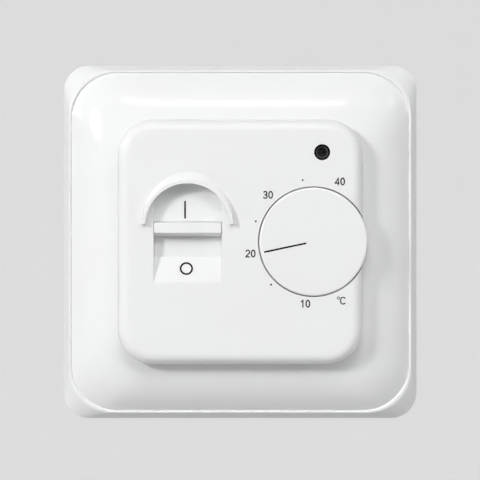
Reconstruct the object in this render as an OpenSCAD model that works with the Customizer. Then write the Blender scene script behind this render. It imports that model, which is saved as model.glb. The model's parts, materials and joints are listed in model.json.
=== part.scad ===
// Flush-mounted room thermostat with setting dial, slide switch and indicator.
// Every module is drawn lying on its back, z = height in front of the wall plane,
// and upright() then stands it up: the front faces -Y and the wall plane is y = 0.

/* [Trim frame] */
// Side of the square trim frame at the wall
frame_w = 80; // [77:0.5:90]
// Corner radius of the frame at the wall
frame_corner_r = 5.9; // [3:0.1:9]
// Height of the leaning skirt, from the wall to its rim
skirt_h = 3; // [2.8:0.1:4.5]
// Distance the skirt leans in over its height
skirt_lean = 1.35; // [0.5:0.05:2]
// Width of the sloping wall inside the rim
groove_w = 0.5; // [0.2:0.05:0.6]
// Depth of the fine groove between the rim and the domed body
groove_d = 0.35; // [0.1:0.05:0.5]
// Corner radius of the line where the domed body starts
dome_corner_r = 10.5; // [8:0.5:14]
// Height that the domed body rises between the groove and the cover
dome_rise = 5.6; // [5.3:0.1:7]
// Slope at the outer end of the arc that the dome follows, in degrees
dome_slope_out = 47; // [40:1:52]
// Slope at the inner end of the arc that the dome follows, in degrees
dome_slope_in = 8; // [4:1:14]
// Wall of the frame moulding
frame_wall = 1.8; // [1.5:0.1:2.2]
// Width of the seating lip round the frame's window
frame_lip_w = 1.6; // [1:0.1:1.8]

/* [Front cover] */
// Side of the square front cover
cover_w = 55; // [54:0.5:57]
// Corner radius of the cover
cover_corner_r = 8; // [6.5:0.5:10]
// Radius of the cover's rounded front edge
cover_edge_r = 2.4; // [1:0.1:2.6]
// Height of the cover's face above the frame's inner edge
cover_rise = 4.2; // [4:0.1:6]
// Side wall of the cover
cover_wall = 1.5; // [1.2:0.1:1.7]
// Face wall of the cover
cover_face_t = 1.6; // [1.2:0.1:1.6]
// Gap between the cover and the frame's window
cover_gap = 0.3; // [0.2:0.05:0.5]

/* [Setting dial] */
// Diameter of the setting dial
dial_d = 24.4; // [24:0.2:26]
// Distance the dial stands out past the side of the cover
dial_overhang = 1.1; // [0.6:0.1:1.6]
// Radial gap between the dial and its well
dial_gap = 0.2; // [0.15:0.05:0.4]
// Gap between the back of the dial and the top of the frame
dial_lift = 0.6; // [0.4:0.1:0.8]
// Thickness of the dial's face
dial_face_t = 1.4; // [1.2:0.1:1.6]
// Thickness of the dial's rim
dial_rim_t = 1.3; // [1:0.1:1.4]
// Radius of the dial's front edge
dial_edge_r = 0.5; // [0.2:0.1:0.8]
// Direction of the pointer at rest, in degrees
pointer_angle = 192; // [180:1:205]
// Turn from rest to the coldest setting, in degrees
turn_cold = 97; // [80:1:105]
// Turn from rest to the warmest setting, in degrees
turn_warm = 124; // [100:1:130]
// Radius of the stop pins under the dial
stop_pin_r = 0.65; // [0.5:0.05:0.8]

/* [Slide switch] */
// Distance from the cover's left side to the middle of the switch pocket
pocket_inset = 15.7; // [15:0.1:17]
// Width of the switch pocket
pocket_w = 15.3; // [14:0.1:16]
// Depth of the switch pocket's floor under the cover's face
pocket_d = 1.7; // [1.6:0.1:2]
// Thickness of the pocket's floor
pocket_floor_t = 0.5; // [0.4:0.1:1]
// Radius of the arch over the pocket
arch_r = 9.5; // [9:0.1:10.5]
// Height of the arch's centre above the middle of the cover
arch_z = 3.6; // [3:0.1:4.5]
// Height of the hood's rim in front of the cover's face
hood_h = 1.4; // [1:0.1:2]
// Thickness of the hood's rim
hood_rim_t = 0.7; // [0.6:0.05:1]
// Width of the hood's flank at the top of the arch
hood_flank = 2.6; // [2:0.1:3.2]
// Bottom edge of the pocket's ramp
ramp_bottom_z = -9; // [-9.4:0.1:-8.6]
// Top edge of the pocket's ramp, where the slider's opening starts
ramp_top_z = -3.4; // [-3.6:0.1:-3]
// Travel of the slide switch
switch_travel = 4.6; // [4:0.1:5]
// Height of the finger grip at its root
grip_root_h = 3.1; // [2.9:0.1:3.6]
// Height of the finger grip at its front face
grip_face_h = 2.4; // [2:0.1:2.8]
// Distance the grip stands in front of the cover's face
grip_proud = 0.35; // [0.2:0.05:0.8]
// Thickness of the slider's plate
slider_t = 1.2; // [1:0.1:1.3]
// Clearance round the sliding parts
slide_gap = 0.1; // [0.08:0.01:0.15]

/* [Indicator] */
// Diameter of the indicator's lens
lens_d = 2.9; // [2.8:0.1:3]
// Diameter of the hole for the indicator
lens_hole_d = 3.6; // [3.4:0.1:3.8]
// Distance from the cover's right side to the indicator
lens_inset_x = 9.1; // [8.5:0.1:10]
// Distance from the cover's top side to the indicator
lens_inset_z = 7.4; // [7:0.1:8.5]

/* [Mounting plate] */
// Distance from the frame's side to the side of the steel mounting plate
plate_inset = 5; // [4.5:0.1:5]
// Thickness of the mounting plate
plate_t = 1.2; // [1:0.1:1.3]
// Distance between opposite wall screws
wall_screw_pitch = 60; // [59:0.5:60]
// Width of a wall screw slot
wall_slot_w = 3.6; // [3.2:0.1:4.2]
// Length of a wall screw slot
wall_slot_l = 7; // [6:0.5:8]

/* [Rear case] */
// Side of the rear case, which goes into a round wall box
case_w = 50; // [49:0.5:50.5]
// Corner radius of the rear case
case_corner_r = 16; // [15:0.5:17]
// Depth of the rear case behind the wall plane
case_depth = 29; // [28.5:0.5:34]
// Wall of the rear case
case_wall = 1.6; // [1.4:0.1:1.8]
// Distance that the wire entry face is set back from the case's underside
chin_inset = 3.8; // [3.4:0.1:4]

/* [Fasteners] */
// Diameter of the cover screw's thread
cover_screw_d = 2.5; // [2:0.1:2.8]
// Distance from the dial's axis to the cover screw
cover_screw_r = 8.4; // [8.3:0.1:8.6]
// Distance of each case screw from the sides of the rear case
case_screw_inset = 7.7; // [7.5:0.1:8]
// Diameter of the case screws
case_screw_d = 2.5; // [2.2:0.1:2.9]
// Diameter of the board screws
board_screw_d = 2; // [1.8:0.1:2.4]

/* [Boards] */
// Thickness of both circuit boards
board_t = 1.6; // [1.2:0.1:1.7]
// Gap round the edge of both circuit boards
board_gap = 0.25; // [0.15:0.05:0.4]

/* [Potentiometer] */
// Width of the potentiometer's case
pot_w = 9.5; // [9:0.1:10]
// Height of the potentiometer's case
pot_h = 10; // [9.5:0.1:10.4]
// Depth of the potentiometer's case
pot_depth = 4.5; // [4.4:0.1:4.6]
// Diameter of the potentiometer's shaft
shaft_d = 6; // [5.8:0.05:6.1]
// Radial clearance of the shaft in its bush
shaft_gap = 0.05; // [0.02:0.01:0.08]
// Depth of the flat on the shaft
shaft_flat_d = 1.5; // [1:0.1:1.8]

/* [Mains switch] */
// Width of the mains switch's case
switch_w = 12; // [11.8:0.1:12.4]
// Length of the mains switch's case
switch_l = 22; // [21.5:0.1:22.4]
// Depth of the mains switch's case
switch_depth = 8; // [7.8:0.1:8.6]

/* [Relay] */
// Length of the relay
relay_l = 18.5; // [18.3:0.1:18.7]
// Width of the relay
relay_w = 15.5; // [15:0.1:15.6]
// Height of the relay above the power board
relay_h = 15; // [14.8:0.1:15.2]
// Opening angle of the relay's armature, in degrees
armature_open = 3; // [2:0.5:4]

/* [Terminals] */
// Distance between neighbouring terminals
terminal_pitch = 5.1; // [5:0.05:5.2]
// Depth of the terminal block behind the power board
terminal_block_h = 12.2; // [11.6:0.1:12.4]
// Travel of a terminal clamp
clamp_travel = 2.5; // [2:0.1:2.8]

/* [Hidden] */

$fn = 48;
cut = 0.5;             // how far a cut runs past the surface it opens
slice_h = 0.01;        // thickness of one section of a lofted form
dome_steps = 9;        // sections along the domed body
fit = 0.1;             // clearance between parts that are screwed or pushed together
turning_gap = 0.05;    // radial clearance of a piece that turns in another
head_rim = 0.95;       // how far a screw head stands out past its thread

// Heights in front of the wall plane
lip_top = skirt_h;
lip_wall = 1.5;                        // wall of the frame round its window
dome_half = frame_w / 2 - skirt_lean - groove_w;
window_half = cover_w / 2 + cover_gap;
window_r = cover_corner_r + cover_gap;
dome_span = dome_half - window_half;
dome_foot = skirt_h - groove_d;
dome_top = dome_foot + dome_rise;
cover_face = dome_top + cover_rise;
cover_inside = cover_face - cover_face_t;

// Setting dial and its well
dial_r = dial_d / 2;
dial_x = cover_w / 2 - dial_r + dial_overhang;
dial_back = dome_top + dial_lift;
well_r = dial_r + dial_gap;
well_play = 0.3;                       // gap between the dial and the floor of its well
well_floor = dial_back - well_play;
well_floor_t = 1.2;
well_wall = 1.2;
well_back = well_floor - well_floor_t;
hub_wall = 1;
hub_r = shaft_d / 2 + hub_wall;
hub_play = 0.4;                        // gap round the hub in the floor of the well
pointer_w = 0.38;
pointer_d = 0.2;
pointer_from = 1.6;
pointer_to = dial_r - 0.9;
stop_play = 0.5;                       // degrees of free turn left at each stop
stop_ring_r = dial_r - dial_rim_t - 2 * stop_pin_r + 0.5;
stop_angle = 2 * asin(stop_pin_r / stop_ring_r) + stop_play;
stop_overlap = 1.5;
cover_screw_angle = 270;
stop_lug_angle = cover_screw_angle - 180 - (turn_cold - turn_warm) / 2;

// Carrier tray, boards and what they carry
tray_gap = 0.3;                        // gap between the tray and the inside of the cover
tray_wall = 1.4;
tray_floor_t = 1.6;
tray_half = cover_w / 2 - cover_wall - tray_gap;
tray_corner_r = cover_corner_r - cover_wall - tray_gap;
tray_floor_top = plate_t + tray_floor_t;
ledge_w = 1.4;
solder_room = 1.8;                     // behind the control board
board_back = tray_floor_top + solder_room;
board_front = board_back + board_t;
tray_proud = 0.4;                      // the tray's walls above the front of the board
tray_top = board_front + tray_proud;
board_half = tray_half - tray_wall - board_gap;
board_corner_r = tray_corner_r - tray_wall - board_gap;
board_boss_r = 2.3;
board_screw_inset = 2.8;               // from the tray's side wall
board_screw_x = tray_half - tray_wall - board_screw_inset;
board_screw_z = 14.5;
power_back = case_wall + terminal_block_h - case_depth;
power_front = power_back + board_t;
case_inner_r = case_corner_r - case_wall;
case_half = case_w / 2;
case_screw_xy = case_half - case_screw_inset;
chin_z = case_half - chin_inset;
power_half = case_half - case_wall - board_gap;
power_corner_r = case_inner_r - board_gap;
step_front = power_back;
step_t = 1.2;
case_back = -case_depth;
case_inside_back = case_back + case_wall;
case_boss_r = 2.8;
case_boss_l = 7;
case_screw_l = 8;
case_screw_head_h = 1.4;
board_screw_head_rim = 0.8;
board_screw_head_h = 1.1;
post_x = 14;
post_z = 15;
post_r = 2;
nib = 0.8;

plate_corner_r = 6;

// Room in the frame for the heads of the wall screws
wall_head_room = 3.6;
wall_head_play = 1;
wall_head_top = plate_t + 2.1;

opening_play = 0.4;                    // round the pieces that pass through the plate and the tray

// Cover screw and the insert that it turns into
cover_screw_z = -cover_screw_r;
cover_screw_head_h = 1.5;
cover_screw_l = 5.6;
insert_wall = 0.65;
insert_r = cover_screw_d / 2 + insert_wall;
insert_l = 4;
insert_boss_wall = 0.95;
insert_boss_r = insert_r + insert_boss_wall;
insert_seat_t = 0.6;                   // what is left of the tray under the insert's hole

// Potentiometer, held behind the control board with its bush through the board
pot_front = board_back;
pot_back = pot_front - pot_depth;
bush_wall = 0.5;
bush_r = shaft_d / 2 + bush_wall + shaft_gap;
bush_drop = 0.7;                       // from the back of the well down to the bush
bush_top = well_back - bush_drop;
hub_lift = 0.3;                        // from the bush up to the dial's hub
hub_back = bush_top + hub_lift;
pot_base_t = 0.8;
pot_pin_margin = 0.8;
pot_pin_z = pot_h / 2 + pot_pin_margin;
rotor_r = 3.9;
rotor_t = 1.2;
rotor_play = 0.3;
rotor_drop = 1.4;                      // from the front of the case back to the rotor
rotor_top = pot_front - rotor_drop;
pivot_r = 1.1;
track_r = 3;
track_w = 1.1;
track_t = 0.2;
track_gap_w = 1.2;                     // where the resistance track is open
wiper_t = 0.3;
shaft_drop = 0.8;                      // from the dial's face back to the end of the shaft
shaft_top = cover_face - shaft_drop;
shaft_press = 0.03;                    // clearance of the dial's hub on the shaft

// Slide switch: the slider behind the pocket's floor
pocket_x = -cover_w / 2 + pocket_inset;
pocket_floor = cover_face - pocket_d;
pocket_floor_back = pocket_floor - pocket_floor_t;
pocket_wall = 1.2;
hood_swell = 0.15;                     // how much wider the hood is at its root than at its rim
hood_foot_rise = 0.35;                 // from the arch's centre up to the hood's feet
slider_front = pocket_floor_back - slide_gap;
slider_back = slider_front - slider_t;
grip_w = pocket_w - 2 * slide_gap;
grip_bottom_z = ramp_top_z + slide_gap + switch_travel;
grip_top_z = grip_bottom_z + grip_root_h;
opening_top_z = grip_top_z + slide_gap;
slider_overlap = 0.9;                  // how far the plate still covers the opening at each end
slider_lap = 1;                        // and at each side
slider_w = pocket_w + 2 * slider_lap;
slider_top_z = opening_top_z + switch_travel + slider_overlap;
slider_bottom_z = ramp_top_z - slider_overlap;
rail_w = 1.2;
rail_hook = 0.8;
rail_hook_t = 0.7;
fork_w = 5;
fork_t = 1;
fork_l = 1.6;

// Mains switch under the slider
stem_w = 4;
stem_l = 3;
stem_play = 0.2;
stem_z = grip_bottom_z + grip_root_h / 2;
stem_reach = (stem_l + switch_travel) / 2;
switch_z = stem_z - switch_travel / 2;
switch_wall = 1;
switch_front = board_back;
switch_back = switch_front - switch_depth;
carriage_play = 0.3;                   // round the carriage and the spring in the switch's case
carriage_w = switch_w - 2 * (switch_wall + carriage_play);
carriage_l = 9;
carriage_t = 3.4;
bridge_x = 3.7;
bridge_w = 1.5;
bridge_l = 7;
bridge_t = 0.5;
contact_gap = 0.06;
pad_t = 0.4;
pad_front = switch_front - switch_wall;
bridge_front = pad_front - pad_t - contact_gap;
carriage_front = bridge_front - bridge_t;
carriage_back = carriage_front - carriage_t;
pad_l = 1.6;
load_pad_z = (bridge_l + pad_l) / 2 + 0.3;
pin_w = 0.7;
chip_leg_w = 0.5;
leg_w = 0.5;
resistor_r = 1.1;
link_count = 6;
link_pitch = 2.54;
link_pin_w = 0.64;
link_strip_w = 2.5;
link_inset = 2;                        // from the top edge of the smaller board
link_z = min(board_half, power_half) - link_inset;
pin_proud = 0.8;
spring_t = 0.3;
spring_w = 4;
notch_d = 0.45;

// Indicator
lens_x = cover_w / 2 - lens_inset_x;
lens_z = cover_w / 2 - lens_inset_z;
lens_r = lens_d / 2;
lens_rim = 0.45;
lens_flange_r = lens_r + lens_rim;
lens_flange_t = 0.9;
lens_drop = 0.2;                       // from the inside of the cover back to the lens's flange
lens_flange_front = cover_inside - lens_drop;
spacer_r = lens_flange_r;
lead_w = 0.5;
lead_pitch = 1.27;

// Relay on the power board
relay_play = 1;                        // beside the mains switch
relay_inset = 1.45;                    // from the bottom edge of the power board
relay_x = pocket_x + switch_w / 2 + relay_play;
relay_z = relay_inset - power_half;
relay_wall = 0.8;
relay_base_t = 1.6;
coil_u = 8;
coil_r = 4.4;
coil_flange_r = 4.9;
coil_foot = 2.8;
coil_head = 10.8;
coil_flange_t = 0.8;
core_r = 1.8;
coil_bore_r = core_r + turning_gap;
pole_r = 2.6;
pole_h = 11.2;
yoke_t = 1.1;
yoke_u = 1.7;
yoke_w = 7;
armature_t = 0.9;
armature_from = 1.1;
armature_to = 11;
leaf_lap = 3;                          // how far the contact leaf lies on the armature
leaf_t = 0.3;
leaf_to = 16.6;
leaf_w = 4;
button_u = 15.4;
button_r = 1.3;
button_t = 0.9;
contact_post_u = 17;
contact_w = 3;
fixed_button_top = pole_h + armature_t - button_t;
relay_pin_t = 0.6;

// Small pieces on the boards: their places are [x, z]
lower_row_z = 6.5 - board_half;
chip_at = [-7, lower_row_z];
transistor_at = [6, lower_row_z];
trimmer_at = [13, lower_row_z + 0.5];
resistor_row_z = 15;
varistor_at = [17, 8];
diode_row_z = switch_z + 6;
chip_size = [9.6, 6.4, 3.1];
chip_standoff = 0.5;
chip_pins = 4;
chip_row = 7.6;                        // between the two rows of legs
resistor_count = 5;
resistor_l = 6;
resistor_pitch = 3.6;
resistor_span = 6.8;                   // between a resistor's two legs
transistor_r = 2.25;
transistor_h = 3.8;
transistor_lift = 0.6;
trimmer_w = 6;
trimmer_h = 3.4;
trimmer_seat = 0.6 * trimmer_h;        // bottom of the pocket for the rotor's disc
trimmer_foot = 0.2 * trimmer_h;        // bottom of the hole for the rotor's hub
trimmer_rotor_r = 2.2;
trimmer_hub_r = 0.8;
trimmer_slot_w = 0.6;
film_size = [15.5, 6.8, 12];
film_rim = 1;
film_recess = 0.5;
electrolytic_r = 4;
diode_count = 4;
diode_r = 1.35;
diode_l = 5.2;
diode_span = 7.1;
varistor_r = 3.8;
varistor_t = 3.2;
varistor_lift = 0.8;                   // between the board and the disc

// Terminal block behind the power board
terminal_count = 6;
block_end_wall = 0.3;
terminal_half = terminal_pitch * terminal_count / 2 + block_end_wall;
block_bottom_z = -chin_z + case_wall;
block_top_z = block_bottom_z + 9.8;
block_back = case_inside_back;
cage_w = 3.8;
cage_l = 5;
cage_wall = 0.8;
cage_side = 0.4;
cage_gap = 0.15;
terminal_axis_z = block_bottom_z + 5;
head_r = 1.9;
head_h = 1.2;
head_slot_w = 0.7;
head_slot_d = 0.7;
thread_r = 1.25;
head_play = 0.3;                       // behind and in front of the screw's head
head_back = block_back + head_play;
cage_back = head_back + head_h + clamp_travel + head_play;
bar_t = 0.8;
bar_w = 2.6;
bar_pin_w = 1;
bar_lap = 0.4;                         // from the end of the cage to the end of the bar
bar_back = cage_back + cage_wall + 2 * fit;
cage_depth = 2 * cage_wall + bar_t + clamp_travel + 4 * fit;
cage_front = cage_back + cage_depth;
bar_front = bar_back + bar_t;
entry_w = 3.3;
entry_front = cage_front - cage_wall;
pin_z = terminal_axis_z + cage_l / 2 + 1;

function terminal_x(i) = (i - (terminal_count - 1) / 2) * terminal_pitch;

// One section of the domed body: [height, half width, corner radius]
function dome_level(i) =
    let (a = dome_slope_out + (dome_slope_in - dome_slope_out) * i / dome_steps)
    let (in = (sin(dome_slope_out) - sin(a)) / (sin(dome_slope_out) - sin(dome_slope_in)))
    let (up = (cos(a) - cos(dome_slope_out)) / (cos(dome_slope_in) - cos(dome_slope_out)))
    [dome_foot + up * dome_rise, dome_half - in * dome_span, dome_corner_r + in * (window_r - dome_corner_r)];

module upright() {
    rotate([90, 0, 0]) children();
}

module block(x0, x1, z0, z1, back, front) {
    translate([x0, z0, back]) cube([x1 - x0, z1 - z0, front - back]);
}

module rod(x, z, r, back, front) {
    translate([x, z, back]) cylinder(r = r, h = front - back);
}

module rounded_square(w, h, r) {
    square([w - 2 * r, h], center = true);
    square([w, h - 2 * r], center = true);
    for (sx = [-1, 1], sz = [-1, 1])
        translate([sx * (w / 2 - r), sz * (h / 2 - r)]) circle(r = r);
}

module rounded_plate(half, r, back, front) {
    translate([0, 0, back]) linear_extrude(height = front - back) rounded_square(2 * half, 2 * half, r);
}

// Half section of a rounded edge: flat to half - edge, then a quarter circle down to half
module edge_section(half, edge) {
    square([half - edge, edge]);
    intersection() {
        translate([half - edge, 0]) circle(r = edge);
        square([half, edge]);
    }
}

// A square plate whose front edge is rounded all the way round
module soft_plate(half, r, edge, back, front) {
    rounded_plate(half, r, back, front - edge);
    for (a = [0 : 90 : 270]) rotate([0, 0, a]) translate([0, 0, front - edge]) {
        translate([half - r, half - r, 0]) rotate_extrude(angle = 90) edge_section(r, edge);
        translate([0, half - r, 0]) rotate([90, 0, 0])
            linear_extrude(height = 2 * (half - r)) edge_section(half, edge);
    }
}

module loft(levels) {
    for (i = [0 : len(levels) - 2])
        hull()
            for (level = [levels[i], levels[i + 1]])
                rounded_plate(level[1], level[2], level[0], level[0] + slice_h);
}

// Opening round the pieces that pass through the mounting plate and the tray: the relay
// and what is above it, the mains switch, the potentiometer and the links between the boards
module opening_outline() {
    strip_half = link_count * link_pitch / 2;
    switch_bottom = switch_z - switch_l / 2 - opening_play;
    relay_side = relay_x + relay_w + opening_play;
    pot_top = pot_pin_z + pin_w + opening_play;
    translate([relay_x - opening_play, relay_z - opening_play])
        square([relay_w + 2 * opening_play, link_z - relay_z + 2 * opening_play]);
    translate([pocket_x - switch_w / 2 - opening_play, switch_bottom])
        square([relay_side - pocket_x + switch_w / 2 + opening_play, switch_l + 2 * opening_play]);
    translate([0, -pot_h / 2 - opening_play])
        square([dial_x + pot_w / 2 + opening_play, pot_h / 2 + opening_play + pot_top]);
    translate([-strip_half - opening_play, link_z - link_strip_w / 2 - opening_play])
        square([2 * (strip_half + opening_play), link_strip_w + 2 * opening_play]);
}

module screw(r, head_radius, head_height, tip, seat) {
    difference() {
        union() {
            rod(0, 0, r, tip, seat);
            rod(0, 0, head_radius, seat, seat + head_height);
        }
        for (a = [0, 90])
            rotate([0, 0, a]) translate([0, 0, seat + head_height])
                cube([1.3 * head_radius, 0.3 * head_radius, head_height], center = true);
    }
}

// ---------------------------------------------------------------- trim frame

module trim_frame() {
    rim_half = dome_half + groove_w;
    rim_r = dome_corner_r + groove_w;
    inner_wall = window_half + lip_wall;
    foot_half = frame_w / 2 - frame_wall;
    shoulder_half = dome_half - frame_wall;
    crown_wall = 1.2 * frame_wall;
    color("white") upright() difference() {
        union() {
            difference() {
                loft([[0, frame_w / 2, frame_corner_r], [skirt_h - slice_h, rim_half, rim_r]]);
                loft([[dome_foot, dome_half, dome_corner_r], [skirt_h, rim_half, rim_r]]);
            }
            loft([for (i = [0 : dome_steps]) dome_level(i)]);
        }
        // Hollow underside, between the outer shell and the wall round the window
        difference() {
            loft([
                [-cut, foot_half, frame_corner_r],
                [skirt_h - frame_wall, shoulder_half, dome_corner_r - frame_wall],
                [dome_top - crown_wall, inner_wall, window_r]
            ]);
            rounded_plate(inner_wall, window_r + lip_wall, plate_t, dome_top);
        }
        rounded_plate(window_half, window_r, lip_top, dome_top + cut);
        rounded_plate(window_half - frame_lip_w, window_r - frame_lip_w, -cut, dome_top);
        // Room for the heads of the wall screws
        wall_screw_places()
            block(-wall_slot_l / 2 - wall_head_play, wall_slot_l / 2 + wall_head_play, -wall_head_room,
                wall_head_room, -cut, wall_head_top);
    }
}

// ---------------------------------------------------------------- front cover

// Outline of the switch pocket: straight sides under a round arch
module pocket_outline(grow, bottom) {
    half = pocket_w / 2 + grow;
    translate([pocket_x, 0]) {
        translate([-half, bottom]) square([2 * half, arch_z - bottom]);
        translate([0, arch_z]) intersection() {
            circle(r = arch_r + grow);
            translate([-half, 0]) square([2 * half, arch_r + grow]);
        }
    }
}

// The recess in front of the pocket's floor, with the ramp that runs out at its bottom
module pocket_cut() {
    blend = 0.3;
    steps = 4;
    slope = pocket_d / (ramp_top_z - ramp_bottom_z);
    translate([0, 0, pocket_floor]) linear_extrude(height = pocket_d + hood_h + cut)
        pocket_outline(0, ramp_top_z);
    translate([pocket_x, 0, 0]) rotate([90, 0, 90])
        linear_extrude(height = pocket_w, center = true) polygon(concat(
            [[ramp_top_z, cover_face + cut], [ramp_top_z, pocket_floor]],
            [for (i = [0 : steps]) let (t = i / steps, z = ramp_bottom_z + blend * (1 - 2 * t))
                [z, cover_face - slope * blend * pow(1 - t, 2)]],
            [[ramp_bottom_z - blend, cover_face + cut]]
        ));
}

// The hood: an arched visor whose flank runs out into the face
module hood() {
    foot = hood_rim_t + hood_swell;
    middle = hood_rim_t + 0.6 * hood_swell;
    // Sections of the hood: [height, width at the sides, width at the top]
    flank = [
        [-slice_h, foot, hood_flank],
        [0.3 * hood_h, middle, 0.7 * hood_flank],
        [hood_h - slice_h, hood_rim_t, hood_rim_t]
    ];
    difference() {
        translate([pocket_x, arch_z, cover_face]) for (i = [0, 1])
            hull() for (level = [flank[i], flank[i + 1]])
                translate([0, 0, level[0]]) linear_extrude(height = slice_h)
                    scale([arch_r + level[1], arch_r + level[2]]) circle(r = 1, $fn = 64);
        rod(pocket_x, arch_z, arch_r, cover_face - cut, cover_face + hood_h + cut);
        block(pocket_x - 2 * arch_r, pocket_x + 2 * arch_r, -2 * arch_r, arch_z + hood_foot_rise,
            cover_face - cut, cover_face + hood_h + cut);
    }
}

module slider_rails() {
    inner = slider_w / 2 + slide_gap;
    hook_back = slider_back - slide_gap - rail_hook_t;
    for (side = [-1, 1]) {
        from = side * inner;
        to = side * (inner + rail_w);
        lip = side * (inner - rail_hook);
        translate([pocket_x, 0, 0]) {
            block(min(from, to), max(from, to), slider_bottom_z - switch_travel, slider_top_z,
                hook_back, pocket_floor_back + fit);
            block(min(lip, to), max(lip, to), slider_bottom_z, slider_top_z - switch_travel,
                hook_back, hook_back + rail_hook_t);
        }
    }
}

module front_cover() {
    floor_bottom = slider_bottom_z - switch_travel - pocket_wall;
    color("white") upright() {
        difference() {
            union() {
                difference() {
                    soft_plate(cover_w / 2, cover_corner_r, cover_edge_r, lip_top, cover_face);
                    rounded_plate(cover_w / 2 - cover_wall, cover_corner_r - cover_wall,
                        lip_top - cut, cover_inside);
                }
                translate([0, 0, pocket_floor_back])
                    linear_extrude(height = cover_inside + fit - pocket_floor_back)
                        pocket_outline(pocket_wall, floor_bottom);
                intersection() {
                    rod(dial_x, 0, well_r + well_wall, well_back, cover_inside + fit);
                    rounded_plate(cover_w / 2 - cover_wall / 2, cover_corner_r - cover_wall / 2,
                        well_back, cover_face);
                }
                slider_rails();
                hood();
            }
            rod(dial_x, 0, well_r, well_floor, cover_face + cut);
            rod(dial_x, 0, hub_r + hub_play, well_back - cut, well_floor + cut);
            rod(dial_x, cover_screw_z, cover_screw_d / 2 + 2 * fit, well_back - cut, well_floor + cut);
            rod(lens_x, lens_z, lens_hole_d / 2, cover_inside - cut, cover_face + cut);
            pocket_cut();
            block(pocket_x - pocket_w / 2, pocket_x + pocket_w / 2, ramp_top_z, opening_top_z,
                pocket_floor_back - cut, pocket_floor + fit);
        }
        stop_posts();
    }
}

// The two posts in the well that the dial's lug meets at the ends of its turn
module stop_posts() {
    for (a = [turn_cold + stop_angle, -turn_warm - stop_angle])
        translate([dial_x, 0, 0]) rotate([0, 0, stop_lug_angle + a])
            rod(stop_ring_r, 0, stop_pin_r, well_floor, dial_back + stop_overlap);
}

// ---------------------------------------------------------------- setting dial

module setting_dial() {
    ceiling = cover_face - dial_face_t;
    color("white") upright() translate([dial_x, 0, 0]) {
        difference() {
            union() {
                rotate_extrude() {
                    translate([0, ceiling]) square([dial_r - dial_edge_r, dial_face_t]);
                    translate([dial_r - dial_rim_t, dial_back])
                        square([dial_rim_t, cover_face - dial_edge_r - dial_back]);
                    translate([dial_r - dial_edge_r, cover_face - dial_edge_r]) circle(r = dial_edge_r);
                }
                rod(0, 0, hub_r, hub_back, ceiling + fit);
            }
            difference() {
                rod(0, 0, shaft_d / 2 + shaft_press, hub_back - cut, shaft_top + shaft_press);
                rotate([0, 0, pointer_angle])
                    block(shaft_d / 2 - shaft_flat_d + shaft_press, shaft_d, -shaft_d, shaft_d,
                        hub_back - cut, cover_face);
            }
            rotate([0, 0, pointer_angle])
                block(pointer_from, pointer_to, -pointer_w / 2, pointer_w / 2,
                    cover_face - pointer_d, cover_face + cut);
        }
        rotate([0, 0, stop_lug_angle]) rod(stop_ring_r, 0, stop_pin_r, dial_back + fit, ceiling + fit);
    }
}

// ---------------------------------------------------------------- cover fastening

module cover_screw() {
    color("silver") upright() translate([dial_x, cover_screw_z, 0])
        screw(cover_screw_d / 2, cover_screw_d / 2 + head_rim, cover_screw_head_h,
            well_floor - cover_screw_l, well_floor);
}

module cover_insert() {
    color("goldenrod") upright() translate([dial_x, cover_screw_z, 0]) difference() {
        rod(0, 0, insert_r, well_back - fit - insert_l, well_back - fit);
        rod(0, 0, cover_screw_d / 2 + fit / 2, well_back - insert_l - cut, well_back + cut);
    }
}

// ---------------------------------------------------------------- indicator

module indicator_lens() {
    color([0.03, 0.03, 0.03]) upright() translate([lens_x, lens_z, 0]) {
        rod(0, 0, lens_flange_r, lens_flange_front - lens_flange_t, lens_flange_front);
        rod(0, 0, lens_r, lens_flange_front - lens_flange_t / 2, cover_face - lens_r);
        translate([0, 0, cover_face - lens_r]) rotate_extrude() intersection() {
            circle(r = lens_r);
            square(lens_r);
        }
    }
}

module indicator_spacer() {
    color("ivory") upright() translate([lens_x, lens_z, 0]) difference() {
        rod(0, 0, spacer_r, board_front, lens_flange_front - lens_flange_t);
        for (side = [-1, 1])
            rod(side * lead_pitch, 0, lead_w, board_front - cut, cover_face);
    }
}

module indicator_leads() {
    color("silver") upright() translate([lens_x, lens_z, 0]) for (side = [-1, 1])
        block(side * lead_pitch - lead_w / 2, side * lead_pitch + lead_w / 2, -lead_w / 2, lead_w / 2,
            board_back - pin_proud, lens_flange_front - lens_flange_t);
}

// ---------------------------------------------------------------- slide switch

module switch_slider() {
    grip_front = cover_face + grip_proud;
    grip_bevel = 0.22;
    color("white") upright() translate([pocket_x, 0, 0]) {
        block(-slider_w / 2, slider_w / 2, slider_bottom_z, slider_top_z, slider_back, slider_front);
        rotate([90, 0, 90]) linear_extrude(height = grip_w, center = true) polygon([
            [grip_bottom_z, slider_front - fit],
            [grip_bottom_z, pocket_floor],
            [grip_top_z - grip_face_h, grip_front],
            [grip_top_z - grip_bevel, grip_front - grip_bevel],
            [grip_top_z, grip_front - 2 * grip_bevel],
            [grip_top_z, slider_front - fit]
        ]);
        for (side = [-1, 1])
            translate([0, stem_z + side * (stem_l / 2 + fork_t / 2 + slide_gap), 0])
                block(-fork_w / 2, fork_w / 2, -fork_t / 2, fork_t / 2,
                    slider_back - fork_l, slider_back + fit);
    }
}

module switch_case() {
    inner_w = switch_w / 2 - switch_wall;
    inner_l = switch_l / 2 - switch_wall;
    slot_w = stem_w / 2 + stem_play;
    slot_l = stem_reach + stem_play;
    color([0.15, 0.15, 0.16]) upright() translate([pocket_x, switch_z, 0]) difference() {
        block(-switch_w / 2, switch_w / 2, -switch_l / 2, switch_l / 2, switch_back, switch_front);
        block(-inner_w, inner_w, -inner_l, inner_l, switch_back + switch_wall, switch_front - switch_wall);
        block(-slot_w, slot_w, -slot_l, slot_l, switch_front - 2 * switch_wall, switch_front + cut);
        switch_pin_places() pin_hole(pin_w);
    }
}

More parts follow.
